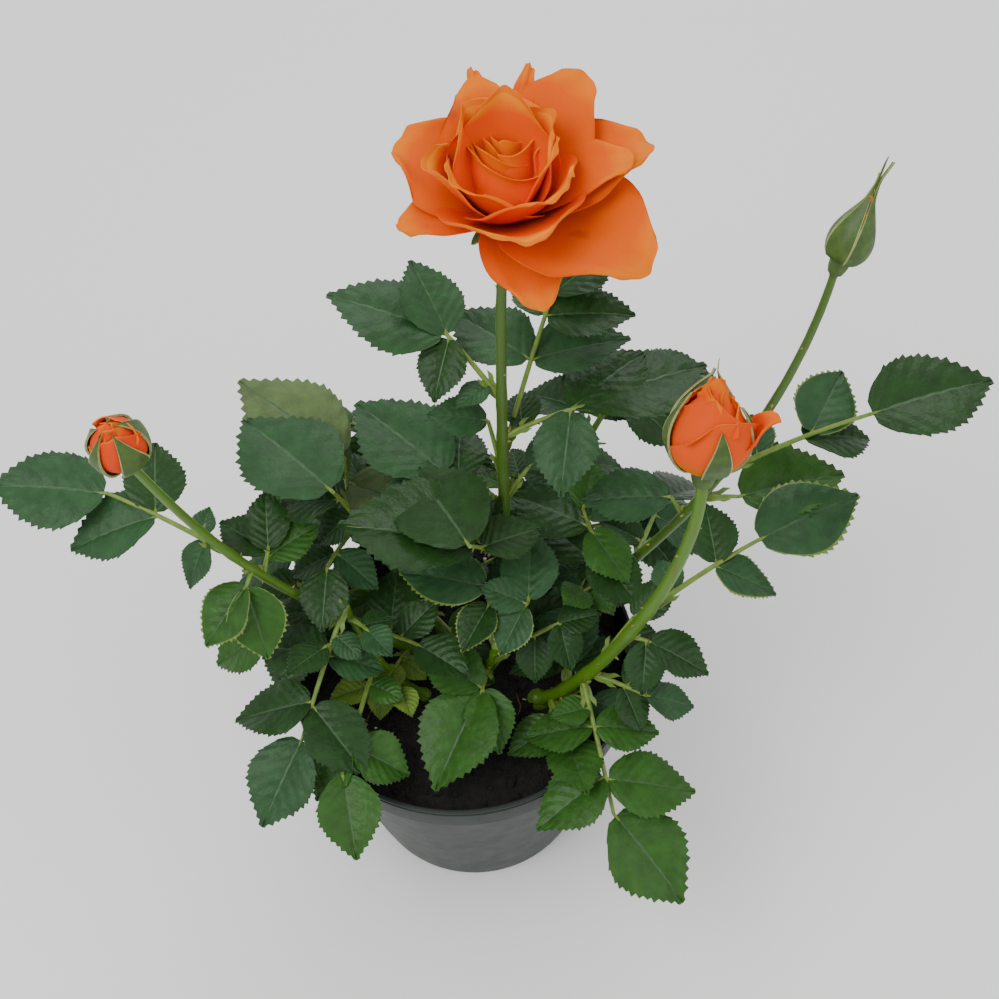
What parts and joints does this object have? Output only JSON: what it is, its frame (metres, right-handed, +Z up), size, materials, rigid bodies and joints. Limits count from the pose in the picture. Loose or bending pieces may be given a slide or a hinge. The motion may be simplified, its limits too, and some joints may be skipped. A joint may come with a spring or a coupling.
{
  "type": "potted rose bush",
  "caption": "Young garden rose in a round nursery pot: bare leaning canes with toothed compound leaves, an open orange bloom and closed or half-open buds at their tips.",
  "frame": {"origin": "centre of the pot's flat underside", "axes": "+Z up out of the pot; +X along the bush's widest spread, to the right as seen from the front; +Y to the back"},
  "size_m": [0.3076, 0.1909, 0.3037],
  "materials": {
    "pot": "grey-green moulded polypropylene with a faint sheen",
    "peat": "dark moist peat with a few pale perlite crumbs",
    "cane": "smooth green young bark",
    "leaf": "dark green semi-matt leaf, paler below",
    "petal": "soft matt orange petal, golden at the inner edges",
    "sepal": "olive green sepal with a pale edge"
  },
  "bodies": {
    "root": {"pot": "pot", "soil": "peat", "main_cane": "cane", "left_cane": "cane", "front_cane": "cane", "tall_cane": "cane", "inner_left_stem": "cane", "low_left_stem": "cane", "centre_stem": "cane", "back_left_stem": "cane", "back_right_stem": "cane", "open_rose_calyx": "sepal", "open_rose_petals": "petal", "front_bud_calyx": "sepal", "front_bud_petals": "petal", "left_bud_calyx": "sepal", "left_bud_petals": "petal", "tall_bud_calyx": "sepal", "tall_bud_petals": "petal", "leaf_top_left": "leaf", "leaf_right_top": "leaf", "leaf_rear_top": "leaf", "leaf_rear_left": "leaf", "leaf_left_fan": "leaf", "leaf_mid_back": "leaf", "leaf_mid_high": "leaf", "leaf_centre_left": "leaf", "leaf_centre_up": "leaf", "leaf_centre_right": "leaf", "leaf_front_mid": "leaf", "leaf_right_centre": "leaf", "leaf_behind_bud": "leaf", "leaf_right_behind": "leaf", "leaf_far_right": "leaf", "leaf_right_mid": "leaf", "leaf_right_low": "leaf", "leaf_right_under": "leaf", "leaf_lower_right": "leaf", "leaf_left_up": "leaf", "leaf_left_hang": "leaf", "leaf_left_far": "leaf", "leaf_inner_hang": "leaf", "leaf_inner_small": "leaf", "leaf_lower_left": "leaf", "leaf_front_left": "leaf", "leaf_left_back": "leaf", "leaf_left_low": "leaf", "leaf_back_left": "leaf", "leaf_back_mid": "leaf", "leaf_back_out": "leaf", "leaf_back_over": "leaf", "leaf_rear_right": "leaf", "leaf_rear_high": "leaf", "leaf_rear_low": "leaf", "leaf_rear_over": "leaf", "leaf_side_right": "leaf", "leaf_left_mid": "leaf", "leaf_centre_big": "leaf", "leaf_inner_right": "leaf", "leaf_low_right": "leaf"}
  },
  "joints": []
}
